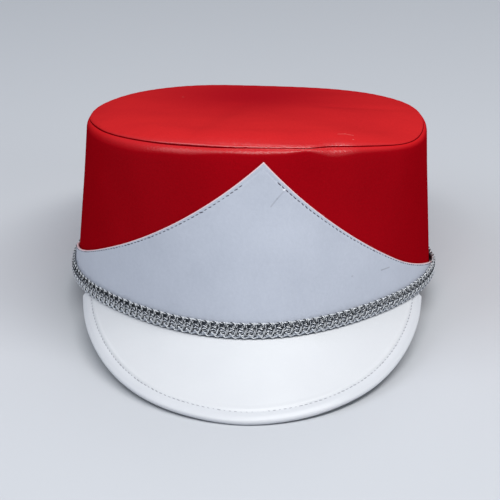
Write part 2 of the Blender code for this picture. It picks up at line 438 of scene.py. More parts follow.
def panel_edge(share):
    """Half width and height on one edge, from the point at 0 to the wing tip at 1."""
    point = Vector((0, PANEL_HEIGHT))
    chord = Vector((PANEL_WING, WING_TIP_HEIGHT)) - point
    inwards = Vector((chord.y, -chord.x)).normalized()
    return point + chord * share + inwards * 4 * PANEL_SWEEP * share * (1 - share)


def panel_foot():
    return BRAID_RISE + BRAID_WIDTH - PANEL_TUCK


def panel_place(share, side):
    """Arc along the base and height of an edge point, with the panel shifted and turned."""
    across, up = panel_edge(share)
    across *= side
    turn = radians(PANEL_TURN)
    arc = PANEL_SHIFT + across * cos(turn) + up * sin(turn)
    height = up * cos(turn) - across * sin(turn)
    height += WING_SETTLE[side] * ease((share - WING_SETTLE_START) / WING_SETTLE_REACH)
    bent = ease((share - 1) / WING_TAPER + 1)
    return Vector((arc, height + (panel_foot() - height) * bent))


def wing_reach(side):
    """Share of an edge at which it comes down to the panel's hidden foot."""
    share = 1.0
    while panel_place(share, side).y < panel_foot() + PANEL_THICKNESS:
        share -= WING_SEARCH_STEP
    return share


def braid_foot(angle):
    return BRAID_RISE + BRAID_WAVE * (sin(angle) + 0.5 * sin(2 * angle))


def braid_seat(arc):
    """How far the braid's back stands off the wall: over the panel, or on the wall itself."""
    tip = WING_TIPS[1 if arc > 0 else -1]
    return GAP + (PANEL_THICKNESS + GAP) * (1 - ease((abs(arc) - tip) / BRAID_STEP))


WING_TIPS = {side: abs(panel_place(wing_reach(side), side).x) + GAP for side in (-1, 1)}


def on_braid(arc, up, out):
    """A point on the braid: along the base, above the braid's foot and out from its back."""
    angle = angle_at(arc)
    return on_wall(angle, braid_foot(angle) + up, braid_seat(arc) - BRAID_SETTLE + out)


def visor_length(angle):
    along = abs(angle) / radians(VISOR_ANGLE)
    return VISOR_END + (VISOR_LENGTH - VISOR_END) * (1 - along**VISOR_POWER)


def visor_normal(angle):
    slope = radians(VISOR_SLOPE)
    return outward(base_line, angle) * sin(slope) + Vector((0, 0, cos(slope)))


def on_visor(angle, down, square):
    """A point down the visor's slope from its seat under the braid, and square to its face."""
    slope = radians(VISOR_SLOPE)
    normal = outward(base_line, angle)
    root = base_line(angle) + normal * (GAP + VISOR_THICKNESS * sin(slope))
    root.z = braid_foot(angle) - GAP
    fall = normal * cos(slope) - Vector((0, 0, sin(slope)))
    return root + fall * down + visor_normal(angle) * square


def hat_place():
    """Leans the hat back on the frame: its base rim mount says how far, and where the base is."""
    rim = frame["record"]["mounts"][0]
    up = -Vector(rim["axis"])
    lean = Vector((0, 0, 1)).rotation_difference(up).to_matrix()
    back = Vector((0, (HEAD_DEPTH + WALL) / 2, 0))
    return Matrix.Translation(Vector(rim["pos_m"]) - lean @ back) @ lean.to_4x4()


HAT = hat_place()


# Modelling by hand


def activate(obj):
    bpy.ops.object.select_all(action="DESELECT")
    obj.select_set(True)
    bpy.context.view_layer.objects.active = obj


def edit(obj):
    activate(obj)
    bpy.ops.object.mode_set(mode="EDIT")


def leave_edit():
    bpy.ops.object.mode_set(mode="OBJECT")


def select_edges(obj, test):
    """In edit mode, selects only the edges that pass a test."""
    bpy.ops.mesh.select_mode(type="EDGE")
    bpy.ops.mesh.select_all(action="DESELECT")
    mesh = bmesh.from_edit_mesh(obj.data)
    for edge in mesh.edges:
        if test(edge):
            edge.select_set(True)
    bmesh.update_edit_mesh(obj.data)


def is_level(edge):
    return abs(edge.verts[0].co.z - edge.verts[1].co.z) < 0.5


def drawn_up(name, rows, fill):
    """A ring drawn up row by row, left in edit mode. Each row lies 1 above the last."""
    bpy.ops.mesh.primitive_circle_add(
        vertices=AROUND, radius=1, rotation=(0, 0, -pi / 2), fill_type=fill
    )
    obj = bpy.context.object
    obj.name = name
    bpy.ops.object.transform_apply(rotation=True)
    edit(obj)
    bpy.ops.mesh.select_all(action="SELECT")
    for _ in range(rows - 1):
        bpy.ops.mesh.extrude_region_move(TRANSFORM_OT_translate={"value": (0, 0, 1)})
    return obj


def hoop(name, rows):
    """A blank closed band: its last row is bridged to its first."""
    obj = drawn_up(name, rows, "NOTHING")
    ends = (0, rows - 1)
    select_edges(obj, lambda e: all(round(v.co.z) in ends for v in e.verts) and is_level(e))
    bpy.ops.mesh.bridge_edge_loops()
    leave_edit()
    return obj


def lidded_tube(name, rows):
    """A blank tube with its two ends closed by fans: their middle vertices lie at radius 0."""
    obj = drawn_up(name, rows, "NGON")
    bpy.ops.mesh.select_mode(type="FACE")
    bpy.ops.mesh.select_all(action="DESELECT")
    mesh = bmesh.from_edit_mesh(obj.data)
    for face in mesh.faces:
        if len(face.verts) == AROUND:
            face.select_set(True)
    bmesh.update_edit_mesh(obj.data)
    bpy.ops.mesh.poke()
    leave_edit()
    return obj


def sleeve(name, columns, rows):
    """A blank closed sleeve: a grid whose long sides are bridged and whose ends are filled."""
    bpy.ops.mesh.primitive_grid_add(x_subdivisions=columns, y_subdivisions=rows - 1, size=2)
    obj = bpy.context.object
    obj.name = name
    for vertex in obj.data.vertices:
        vertex.co.x = round((vertex.co.x + 1) / 2 * columns)
        vertex.co.y = round((vertex.co.y + 1) / 2 * (rows - 1))
    edit(obj)
    ends = (0, rows - 1)
    select_edges(
        obj, lambda e: e.verts[0].co.y == e.verts[1].co.y and round(e.verts[0].co.y) in ends
    )
    bpy.ops.mesh.bridge_edge_loops()
    bpy.ops.mesh.select_all(action="DESELECT")
    bpy.ops.mesh.select_non_manifold()
    bpy.ops.mesh.fill_holes(sides=0)
    leave_edit()
    return obj


def lay(obj, place):
    """Puts each vertex of a blank in its place on the hat, with the faces pointing out."""
    for vertex in obj.data.vertices:
        vertex.co = HAT @ place(vertex.co.copy())
    edit(obj)
    bpy.ops.mesh.select_all(action="SELECT")
    bpy.ops.mesh.normals_make_consistent(inside=False)
    leave_edit()


def note(obj, name, values):
    """Keeps a number for each vertex that the piece's materials can read."""
    attribute = obj.data.attributes.new(name, "FLOAT", "POINT")
    for i, value in enumerate(values):
        attribute.data[i].value = value


def finish_piece(obj, slot, node, *materials, crease=50):
    """Smooths a piece below an angle, gives it its materials and hangs it on the frame."""
    activate(obj)
    bpy.ops.object.shade_smooth_by_angle(angle=radians(crease))
    for material in materials:
        obj.data.materials.append(material)
    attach(obj, "root")
    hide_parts(node)


def turn_of(point):
    """Angle of a point round the middle, from the front towards +X."""
    return Vector((-point.y, point.x)).angle_signed(Vector((1, 0)), 0)


# Materials


class Wire:
    """A socket of a material's nodes. Sums and products of wires add Math nodes."""

    def __init__(self, tree, socket=None):
        self.tree = tree
        self.socket = socket

    def node(self, kind, settings=None, inputs=None, output=0):
        """Adds a node, sets it, fills or links its sockets, and returns one of its outputs."""
        new = self.tree.nodes.new(kind)
        for name, value in (settings or {}).items():
            setattr(new, name, value)
        for name, value in (inputs or {}).items():
            if isinstance(value, Wire):
                self.tree.links.new(value.socket, new.inputs[name])
            else:
                new.inputs[name].default_value = value
        return Wire(self.tree, new.outputs[output])

    def maths(self, operation, *values):
        return self.node("ShaderNodeMath", {"operation": operation}, dict(enumerate(values)))

    def __add__(self, other):
        return self.maths("ADD", self, other)

    def __sub__(self, other):
        return self.maths("SUBTRACT", self, other)

    def __rsub__(self, other):
        return self.maths("SUBTRACT", other, self)

    def __mul__(self, other):
        return self.maths("MULTIPLY", self, other)

    def __truediv__(self, other):
        return self.maths("DIVIDE", self, other)

    __radd__ = __add__
    __rmul__ = __mul__

    def clamped(self):
        return self.node("ShaderNodeClamp", {}, {"Value": self})


class Finish:
    """A new material: its shader, its object coordinates, and the patterns that finishes share."""

    def __init__(self, name, **values):
        self.material = bpy.data.materials.new(name)
        self.material.use_nodes = True
        self.tree = self.material.node_tree
        self.shader = self.tree.nodes["Principled BSDF"]
        self.start = Wire(self.tree)
        self.at = self.start.node("ShaderNodeTexCoord", output="Object")
        for socket, value in values.items():
            self.shader.inputs[socket.replace("_", " ")].default_value = value

    def drive(self, socket, wire):
        self.tree.links.new(wire.socket, self.shader.inputs[socket])

    def patches(self, size, detail=2.0):
        """Soft cloudy noise from 0 to 1 with patches of a given size."""
        inputs = {"Vector": self.at, "Scale": 1 / size, "Detail": detail}
        return self.start.node("ShaderNodeTexNoise", {}, inputs)

    def cells(self, size):
        """Distance from the middles of cells of a given size."""
        inputs = {"Vector": self.at, "Scale": 1 / size}
        return self.start.node("ShaderNodeTexVoronoi", {"feature": "F1"}, inputs)

    def noted(self, name):
        """A number that was noted for each vertex."""
        return self.start.node("ShaderNodeAttribute", {"attribute_name": name}, output="Fac")

    def blend(self, factor, first, second):
        """A colour between two, each a colour or a wire."""
        first, second = (c if isinstance(c, Wire) else (*c, 1) for c in (first, second))
        settings = {"data_type": "RGBA", "clamp_factor": True}
        inputs = {0: factor, MIX_FIRST: first, MIX_SECOND: second}
        return self.start.node("ShaderNodeMix", settings, inputs, output=MIX_RESULT)

    def relief(self, height, depth):
        """Bumps the surface by a height from 0 to 1 that stands for a depth in metres."""
        inputs = {"Height": height, "Distance": depth, "Strength": 1.0}
        self.drive("Normal", self.start.node("ShaderNodeBump", {}, inputs))

    def pebbles(self, size, share, fine, depth):
        """The grain of vinyl: pebbles of a size, by a share, over finer patches."""
        self.relief(self.cells(size) * share + self.patches(fine) * (1 - share), depth)

    def marks(self, points, width):
        """1 on a line through points of the upright hat, fading to 0 at a width from it."""
        total = self.mark(points[0], points[1], width)
        for start, end in zip(points[1:], points[2:]):
            total = total + self.mark(start, end, width)
        return total.clamped()

    def fleck(self, point, width):
        offset = self.vector("DISTANCE", self.at, HAT @ Vector(point), output=1)
        return (1 - offset / width).clamped()

    def mark(self, start, end, width):
        start = HAT @ Vector(start)
        line = HAT @ Vector(end) - start
        offset = self.vector("SUBTRACT", self.at, start)
        along = self.vector("DOT_PRODUCT", offset, line / line.length_squared, output=1).clamped()
        foot = self.start.node(
            "ShaderNodeVectorMath", {"operation": "SCALE"}, {0: line, "Scale": along}
        )
        distance = self.vector("DISTANCE", offset, foot, output=1)
        return (1 - distance / width).clamped()

    def fade_gloss(self, polish):
        """Takes the gloss away where the polish is worn, and at a slant, as a coarse grain does."""
        matt = self.tree.nodes.new("ShaderNodeBsdfPrincipled")
        matt.inputs["Specular IOR Level"].default_value = 0
        matt.inputs["Roughness"].default_value = 1
        for socket in ("Base Color", "Normal"):
            driver = self.shader.inputs[socket].links[0].from_socket
            self.tree.links.new(driver, matt.inputs[socket])
        slant = self.start.node("ShaderNodeLayerWeight", {}, {"Blend": 0.5}, output="Facing")
        shaders = {
            0: 1 - polish * (1 - ((slant - FADE_SLANT) * FADE_SPEED).clamped()),
            1: Wire(self.tree, self.shader.outputs[0]),
            2: Wire(self.tree, matt.outputs[0]),
        }
        mixed = self.start.node("ShaderNodeMixShader", {}, shaders)
        self.tree.links.new(mixed.socket, self.tree.nodes["Material Output"].inputs["Surface"])

    def vector(self, operation, *values, output=0):
        settings = {"operation": operation}
        return self.start.node("ShaderNodeVectorMath", settings, dict(enumerate(values)), output)


def red_vinyl(name, reds):
    """Grained red vinyl, cloudy and finely mottled, and a deeper red of painted shade where a seam
    tucks it in.
    """
    finish = Finish(name, Specular_IOR_Level=0.6)
    cloud = finish.patches(0.03)
    speck = finish.patches(0.0012)
    colour = finish.blend(cloud * 0.65 + speck * 0.35, *reds)
    tucked_painted_shade = (finish.noted("tucked_painted_shade") * TUCK_SHARPNESS - TUCK_DELAY).clamped()
    # Painted shade: the tucked rows turn a deeper red
    colour = finish.blend(tucked_painted_shade, colour, SEAM_PAINTED_SHADE_RED)
    finish.drive("Roughness", 0.20 + cloud * 0.06 + speck * 0.14)
    finish.pebbles(size=0.0011, share=0.6, fine=0.0005, depth=0.00011)
    return finish, colour, finish.noted("polished") * (1 - tucked_painted_shade)


def red_side_vinyl():
    finish, colour, polish = red_vinyl("red_side_vinyl", SIDE_PAINTED_SHADE_REDS)
    # Painted light: the side turns paler up its rounding, as far as its polish goes
    finish.drive("Base Color", finish.blend(polish * 0.7, colour, SHOULDER_PAINTED_LIGHT_RED))
    finish.fade_gloss(polish)
    return finish.material


def red_top_vinyl():
    """The top's vinyl: a deeper red of painted shade over its middle and back, paler at its sides
    and front, and scratched in front.
    """
    finish, colour, polish = red_vinyl("red_top_vinyl", TOP_PAINTED_LIGHT_REDS)
    # Painted shade: the top's middle and back turn a deeper red
    colour = finish.blend(finish.noted("painted_shade_faded"), TOP_PAINTED_SHADE_RED, colour)
    worn = finish.marks(TOP_SCRATCH, width=0.0004)
    for point in TOP_FLECKS:
        worn = worn + finish.fleck(point, width=0.0006)
    finish.drive("Base Color", finish.blend(worn * 0.6, colour, SCRATCHED_RED))
    finish.fade_gloss(polish)
    return finish.material


def white_panel_vinyl():
    """Pale vinyl: cloudy, with a pink painted highlight along its cut edge, and a little creased,
    scuffed and flecked.
    """
    finish = Finish("white_panel_vinyl", Specular_IOR_Level=0.3)
    cloud = finish.patches(0.022, detail=3.0)
    speck = finish.patches(0.0014)
    face = finish.blend(cloud * 0.6 + speck * 0.4, *PANEL_WHITES)
    with_edge_highlight = finish.blend(finish.noted("edge_highlight"), face, EDGE_PAINTED_HIGHLIGHT_PINK)
    crease = finish.marks(PANEL_CREASE, width=0.0005)
    scuff = finish.marks(PANEL_SCUFF, width=0.0005)
    fleck = finish.fleck(PANEL_DARK_FLECK, width=0.0006)
    soiled = finish.blend(crease * 0.45 + scuff * 0.8 + fleck * 0.6, with_edge_highlight, DIRT_GREY)
    shine = finish.fleck(PANEL_BRIGHT_FLECK, width=0.0009)
    finish.drive("Base Color", finish.blend(shine, soiled, FLECK_WHITE))
    finish.drive("Roughness", 0.34 + cloud * 0.12 + speck * 0.1)
    finish.pebbles(size=0.0010, share=0.5, fine=0.0005, depth=0.00005)
    return finish.material


def white_visor_vinyl():
    """Smooth white vinyl, a little greyer on its border."""
    finish = Finish("white_visor_vinyl", Specular_IOR_Level=0.35)
    cloud = finish.patches(0.03)
    speck = finish.patches(0.0015)
    face = finish.blend(cloud * 0.8 + speck * 0.2, *VISOR_WHITES)
    bordered = finish.blend(finish.noted("border") * 0.2, face, BORDER_WHITE)
    finish.drive("Base Color", bordered)
    finish.drive("Roughness", 0.28 + cloud * 0.1)
    finish.relief(finish.patches(0.004, detail=3.0), depth=0.00005)
    return finish.material


def vinyl_backing():
    finish = Finish("vinyl_backing", Roughness=0.85, Specular_IOR_Level=0.2)
    cloud = finish.patches(0.02)
    weave = finish.patches(0.0006)
    finish.drive("Base Color", finish.blend(cloud, *BACKING_GREYS))
    finish.drive("Roughness", 0.78 + weave * 0.15)
    finish.relief(weave, depth=0.0001)
    return finish.material


def silver_gimp(name, colour, roughness, metallic):
    finish = Finish(name, Metallic=metallic)
    speck = finish.patches(0.0007, detail=1.0)
    shade = [channel * GIMP_SHADE for channel in colour]
    finish.drive("Base Color", finish.blend(speck, shade, colour))
    finish.drive("Roughness", roughness + speck * 0.15)
    finish.relief(finish.patches(0.0002, detail=1.0), depth=0.00008)
    return finish.material


def sewing_thread(name, colour):
    finish = Finish(name, Roughness=0.7, Specular_IOR_Level=0.3)
    strand = finish.patches(0.0003)
    shade = [channel * THREAD_SHADE for channel in colour]
    finish.drive("Base Color", finish.blend(strand, shade, colour))
    finish.relief(strand, depth=0.00005)
    return finish.material


# Crown


def side_section(angle):
    """Offsets and heights round the side's closed section, from its outer rim up and back down."""
    height = crown_height(angle)
    shoulder, depth, gape = seam_form(angle)
    section = [(-RIM_BEVEL, 0), (0, RIM_BEVEL)]
    for i in range(1, WALL_ROWS):
        section.append((0, RIM_BEVEL + (height - shoulder - RIM_BEVEL) * i / WALL_ROWS))
    for i in range(SHOULDER_ROWS + 1):
        share = i / SHOULDER_ROWS
        turn = pi / 2 * share
        inwards = 1 - cos(turn) + (share - 1 + cos(turn)) * ROUNDING_FLATNESS
        upwards = sin(turn) + (share - sin(turn)) * ROUNDING_FLATNESS
        section.append((-depth * inwards, height - shoulder * (1 - upwards)))
    tuck = max(depth + GAP / 2, WALL)
    section.append((-depth - GAP / 2, height - GAP - max(gape, 0) / 2))
    section.append((-tuck, height - SEAM_DEPTH))
    section.append((-WALL, height - SEAM_DEPTH * 2))
    section += [(-WALL, height * share) for share in INSIDE_ROWS]
    return section + [(-WALL, RIM_BEVEL), (RIM_BEVEL - WALL, 0)]


def side_polish(row):
    """Polish of a row of the side, which also sets its painted light: almost none on its flat,
    growing up the rounding.
    """
    up = (row - WALL_ROWS) / SHOULDER_ROWS
    return max(FLAT_POLISH, ease(up * POLISH_GROWTH - POLISH_DELAY))


def crown_side():
    rows = len(side_section(0))
    seam_row = WALL_ROWS + SHOULDER_ROWS + 1
    tuck_end = seam_row + TUCKED_ROWS
    obj = hoop("crown_side", rows)
    for face in obj.data.polygons:
        face.material_index = 1 if face.center.z > tuck_end else 0
    rows_up = [vertex.co.z for vertex in obj.data.vertices]
    sections = {}

    def place(point):
        angle = turn_of(point)
        key = round(angle * AROUND / (2 * pi))
        if key not in sections:
            sections[key] = side_section(angle)
        offset, height = sections[key][round(point.z)]
        spot = on_wall(angle, height, offset)
        if offset > -GAP:
            spot += outward(base_line, angle) * ripple(spot, *SIDE_WAVES)
        return spot

    lay(obj, place)
    note(obj, "tucked_painted_shade", [1 if row > seam_row + 0.5 else 0 for row in rows_up])
    note(obj, "polished", [side_polish(row) for row in rows_up])
    finish_piece(obj, "crown_vinyl", "crown_wall", red_side_vinyl(), vinyl_backing())


def lip_point(angle, row, sheet=0):
    """A point of the top's puffed lip at a row of its form, on its face or a sheet below it."""
    inset, rise = LIP_FORM[row]
    _, depth, gape = seam_form(angle)
    edge = depth + GAP + gape
    if rise < 0:
        edge = max(edge, WALL + GAP / 2)
    reach = edge + max(inset, sheet)
    point = crown_line(angle) - outward(crown_line, angle) * reach
    return point + Vector((0, 0, crown_height(angle) + rise - (sheet if rise > 0 else 0)))


def trough(spot):
    """Depth of the top's faint troughs below a point."""
    depth = 0
    for start, end in TOP_TROUGHS:
        foot, share = intersect_point_line(spot.xy, Vector(start), Vector(end))
        foot = Vector(start).lerp(Vector(end), min(max(share, 0), 1))
        depth += ridge((spot.xy - foot).length, 0, TROUGH_WIDTH, TROUGH_DEPTH)
    return depth


def painted_shade_fading(spot):
    """How far the top's painted shade has faded at a point: 0 where it is full, and 1 far from
    there.
    """
    across = (spot.x - PAINTED_SHADE_PLACE[0]) / PAINTED_SHADE_REACH[0]
    along = (spot.y - PAINTED_SHADE_PLACE[1]) / PAINTED_SHADE_REACH[1]
    return 1 - exp(-(across**2) - along**2)


def crown_top():
    """The top: almost flat, its rim puffed beside the seam, then turned under."""
    last = len(LIP_FORM) - 1
    outer_rows = TOP_ROWS + last
    rows = 2 * outer_rows + 2
    obj = lidded_tube("crown_top_panel", rows)
    for face in obj.data.polygons:
        face.material_index = 1 if face.center.z > outer_rows else 0
    rows_out = [vertex.co.z for vertex in obj.data.vertices]
    tuck_row = outer_rows - TUCKED_ROWS - 0.5
    fold_row = outer_rows - POLISHED_ROWS
    centre = sum((lip_point(2 * pi * i / AROUND, last) for i in range(AROUND)), Vector()) / AROUND

    def place(point):
        angle = turn_of(point)
        row = round(point.z)
        under = row > outer_rows
        sheet = TOP_SHEET if under else 0
        row = rows - 1 - row if under else row
        if row < TOP_ROWS:
            reach = 0 if point.xy.length < 0.5 else (row + 1) / (TOP_ROWS + 1)
            spot = centre.lerp(lip_point(angle, last), reach)
            spot.z += TOP_DOME * (1 - reach * reach) - sheet
            spot.z += (reach**3 - reach) * seam_dents(angle)
            fade = 1
        else:
            spot = lip_point(angle, outer_rows - row, sheet)
            fade = ease(1 - (row - TOP_ROWS) / last)
        flat = Vector((spot.x, spot.y, 0))
        pucker = ease((row - TOP_ROWS) / PUCKER_ROWS) * ease((outer_rows - row - 1) / PUCKER_ROWS)
        spot.z += fade * (ripple(flat, *TOP_WAVES) - trough(flat))
        wave = sin(angle * PUCKERS + PUCKER_DRIFT * sin(angle * PUCKER_DRIFTS))
        spot.z += PUCKER * pucker * wave
        return spot

    lay(obj, place)
    polished = [max(FLAT_POLISH, min(1, (row - fold_row) / POLISH_FADE_ROWS)) for row in rows_out]
    note(obj, "tucked_painted_shade", [1 if row > tuck_row else 0 for row in rows_out])
    note(obj, "polished", polished)
    note(obj, "painted_shade_faded", [painted_shade_fading(vertex.co) for vertex in obj.data.vertices])
    finish_piece(obj, "top_vinyl", "crown_top", red_top_vinyl(), vinyl_backing())


# Front panel


def hem_width(share):
    """Distance of the stitches from the panel's edge, by the share of the way to the wing tip."""
    return HEM_WIDTH + (WING_HEM_WIDTH - HEM_WIDTH) * min(share / HEM_TAPER, 1)


def hem_relief(distance, width):
    """Height of the panel's face by the distance from its edge: hem, stitched groove, and face."""
    hem = HEM_RISE * (1 - ease((distance - width / 2) / HEM_FALL))
    return hem + ridge(distance - width, *HEM_GROOVE) + ridge(distance - width, *HEM_SWELL)


def panel_wave(arc, height):
    return ripple(Vector((arc, height, 0)), *PANEL_WAVES)


def edge_points():
    """Points along both edges of the flat panel, from wing tip to wing tip."""
    count = PANEL_COLUMNS
    left = [panel_place(wing_reach(-1) * i / count, -1) for i in range(count, 0, -1)]
    return left + [panel_place(wing_reach(1) * i / count, 1) for i in range(count + 1)]


def panel_section(arc, top, slant, width):
    """Offsets and heights of the panel above one place of its base, from its foot to its edge."""
    face = GAP + PANEL_THICKNESS
    foot = panel_foot()
    hem = min(HEM_ZONE, (top - foot) * HEM_ZONE_SHARE)
    depths = [hem * i / HEM_ROWS for i in range(1, HEM_ROWS)]
    depths += [hem + (top - foot - hem) * i / PANEL_ROWS for i in range(PANEL_ROWS + 1)]
    section = [(GAP, foot)]
    for depth in reversed(depths):
        wave = panel_wave(arc, top - depth)
        section.append((face + hem_relief(depth * slant, width) + wave, top - depth))
    edge = face + panel_wave(arc, top)
    section += [(edge, top - EDGE_ROUNDING), (edge - EDGE_ROUNDING / 3, top - EDGE_ROUNDING / 3)]
    section += [(edge - EDGE_ROUNDING, top), (GAP + BACK_ROUNDING, top)]
    return section + [(GAP, top - BACK_ROUNDING)]


def front_panel():
    edge = edge_points()
    sections = []
    for column, (arc, top) in enumerate(edge):
        ahead = edge[min(column + 1, len(edge) - 1)]
        behind = edge[max(column - 1, 0)]
        slant = (ahead - behind).normalized().x
        width = hem_width(abs(column / PANEL_COLUMNS - 1))
        sections.append((angle_at(arc), panel_section(arc, top, slant, width)))
    obj = sleeve("front_panel_vinyl", len(edge) - 1, len(sections[0][1]))

    def place(point):
        angle, section = sections[round(point.x)]
        offset, height = section[round(point.y)]
        return on_wall(angle, height, offset)

    # The rows of the panel's top edge get the painted highlight
    edge_row = HEM_ROWS + PANEL_ROWS + 0.5
    edge_highlight = [1 if vertex.co.y > edge_row else 0 for vertex in obj.data.vertices]
    lay(obj, place)
    note(obj, "edge_highlight", edge_highlight)
    finish_piece(obj, "panel_vinyl", "front_panel", white_panel_vinyl())


# Braid


def gimp_cord(name, thickness, plies, path, steps, twists):
    """A cord of twisted plies that runs round the base in one closed path."""
    curve = bpy.data.curves.new(name, "CURVE")
    curve.dimensions = "3D"
    curve.bevel_depth = thickness / 2
    curve.bevel_resolution = 1
    round_base = 2 * ARCS[-1]
    repeat = round_base / BRAID_REPEATS
    spread = thickness * PLY_SPREAD
    count = BRAID_REPEATS * steps
    for ply, material in enumerate(plies):
        curve.materials.append(material)
        spline = curve.splines.new("POLY")
        spline.points.add(count - 1)
        spline.use_cyclic_u = True
        spline.material_index = ply
        for i in range(count):
            along, up, out = path(i / steps)
            ahead, above, _ = path((i + HEADING_STEP) / steps)
            heading = Vector(((ahead - along) * repeat, above - up)).normalized()
            turn = 2 * pi * (twists * i / steps + ply / len(plies))
            across = spread * cos(turn)
            arc = (along / BRAID_REPEATS - 0.5) * round_base - across * heading.y
            arc = (arc + round_base / 2) % round_base - round_base / 2
            spot = on_braid(arc, up + across * heading.x, out + spread * sin(turn))
            spline.points[i].co = (*(HAT @ spot), 1)
    obj = bpy.data.objects.new(name, curve)
    bpy.context.collection.objects.link(obj)
    activate(obj)
    bpy.ops.object.convert(target="MESH")
    finish_piece(bpy.context.object, "metallic_braid", "trim_braid", crease=180)


def unevenness(step, pace, seed):
    """Slow changes of a cord from repeat to repeat, unlike those of a cord with another seed."""
    return noise.noise(Vector((step * pace, seed, 0)))


def loop_row(middle, height, width, sink):
    """Path of a cord that loops over itself once each repeat, upwards or, below 0, downwards."""

    def path(step):
        turn = 2 * pi * step
        uneven = LOOP_UNEVEN * unevenness(step, LOOP_PACE, middle * LOOP_SEED)
        along = step - width * (1 + uneven) * sin(turn)
        up = middle + height * (1 + uneven) * cos(turn)
        return along, up, sink + LOOP_SWAY * sin(turn)

    return path


def weaver(lag):
    """Path of a bright cord: down in front between two loops, and up again behind them."""

    def path(step):
        turn = 2 * pi * step
        uneven = WEAVER_UNEVEN * unevenness(step, WEAVER_PACE, lag * WEAVER_SEED)
        along = lag + step - WEAVER_SWING * (1 - cos(turn)) + WEAVER_DRIFT * uneven
        up = WEAVER_MIDDLE + WEAVER_HEIGHT * (1 + uneven) * cos(turn)
        return along, up, WEAVER_OUT + WEAVER_SWAY * sin(turn)

    return path


def hanging(height, drop, out):
    """Path of a cord that hangs in an arc below each repeat."""

    def path(step):
        return step, height - drop * abs(sin(pi * step)), out

    return path


def trim_braid():
    # The bright plies are painted glints and the dark plies painted dark reflections, twisted into
    # light and dark beads
    bright = silver_gimp("painted_glint_gimp", PAINTED_GLINT_SILVER, roughness=0.2, metallic=0.3)
    silver = silver_gimp("silver_gimp", SILVER, roughness=0.25, metallic=0.5)
    dark = silver_gimp("painted_dark_reflection_gimp", PAINTED_DARK_REFLECTION_SILVER, roughness=0.35, metallic=0.9)
    cords = [
        ("gimp_top_loops", LOOP_CORD, (bright, dark), loop_row(*TOP_LOOPS), 25, 5),
        ("gimp_middle_loops", LOOP_CORD, (silver, dark), loop_row(*MIDDLE_LOOPS), 16, 3),
        ("gimp_low_loops", LOOP_CORD, (bright, dark), loop_row(*LOW_LOOPS), 20, 4),
        ("gimp_inner_loops", LOOP_CORD, (bright, silver), loop_row(*INNER_LOOPS), 12, 3),
        ("gimp_weaver", WEAVER_CORD, (bright, dark), weaver(WEAVER_LAG), 20, 4),
        ("gimp_second_weaver", THIN_WEAVER_CORD, (bright, dark), weaver(THIN_WEAVER_LAG), 20, 4),
        ("gimp_edge_cord", EDGE_CORD, (bright, silver), hanging(*SCALLOPS), 10, 1),
    ]
    for name, thickness, plies, path, steps, twists in cords:
        gimp_cord(name, thickness, plies, path, steps, twists)
    braid_core(silver_gimp("band_gimp", BAND_THREAD_AND_SHADE_GREY, roughness=0.4, metallic=0.5), silver)


def braid_core(dark, silver):
    """The woven band that carries the cords: dark thread, darkened further as painted shade between
    the cords, with silver low on its face.
    """
    obj = hoop("braid_core", len(BAND_SECTION))
    for face in obj.data.polygons:
        face.material_index = 1 if SILVER_STRIP < face.center.z < SILVER_STRIP + 1 else 0

    def place(point):
        arc = turn_of(point) / pi * ARCS[-1]
        out, up = BAND_SECTION[round(point.z)]
        return on_braid(arc, up, out)

    lay(obj, place)
    finish_piece(obj, "metallic_braid", "trim_braid", dark, silver)


# Visor


def visor_relief(distance):
    """Height of the visor's face by the distance from its rim: border, stitched groove, and face."""
    return sum(ridge(distance, *form) for form in VISOR_FORM)


def rim_search():
    """A lookup of the distance from any point to the visor's rim."""
    tree = kdtree.KDTree(RIM_POINTS + 1)
    for i in range(RIM_POINTS + 1):
        angle = radians(VISOR_ANGLE) * (2 * i / RIM_POINTS - 1)
        tree.insert(on_visor(angle, visor_length(angle), 0), i)
    tree.balance()
    return tree


def rim_distance(rim, angle, down):
    return rim.find(on_visor(angle, down, 0))[2]


def visor_face(angle, down, rim):
    """A point of the visor's face, with its relief and slow waves."""
    distance = rim_distance(rim, angle, down)
    spot = on_visor(angle, down, visor_relief(distance) * ease(distance / VISOR_RIM_RADIUS / 2))
    return spot + Vector((0, 0, ripple(spot, *VISOR_WAVES) * ease(down / VISOR_WAVES_START)))


def visor():
    rows = VISOR_FACE_ROWS + VISOR_RIM_ROWS + VISOR_UNDER_ROWS + 1
    obj = sleeve("visor_vinyl", VISOR_COLUMNS, rows)
    rim = rim_search()
    border = []

    def place(point):
        angle = radians(VISOR_ANGLE) * (2 * round(point.x) / VISOR_COLUMNS - 1)
        length = visor_length(angle)
        radius = min(VISOR_RIM_RADIUS, length / 4)
        row = round(point.y)
        if row < VISOR_FACE_ROWS:
            down = (length - radius) * row / VISOR_FACE_ROWS
            inside = rim_distance(rim, angle, down) - VISOR_BORDER
            border.append(1 - ease(inside / BORDER_FADE))
            return visor_face(angle, down, rim)
        border.append(1)
        row -= VISOR_FACE_ROWS
        if row <= VISOR_RIM_ROWS:
            turn = pi / 2 - pi * row / VISOR_RIM_ROWS
            spot = on_visor(angle, length - radius + radius * cos(turn), radius * (sin(turn) - 1))
        else:
            share = 1 - (row - VISOR_RIM_ROWS) / VISOR_UNDER_ROWS
            spot = on_visor(angle, (length - radius) * share, -VISOR_THICKNESS)
        return spot + Vector((0, 0, ripple(spot, *VISOR_WAVES)))

    lay(obj, place)
    note(obj, "border", border)
    finish_piece(obj, "visor_vinyl", "visor", white_visor_vinyl())


# Stitches


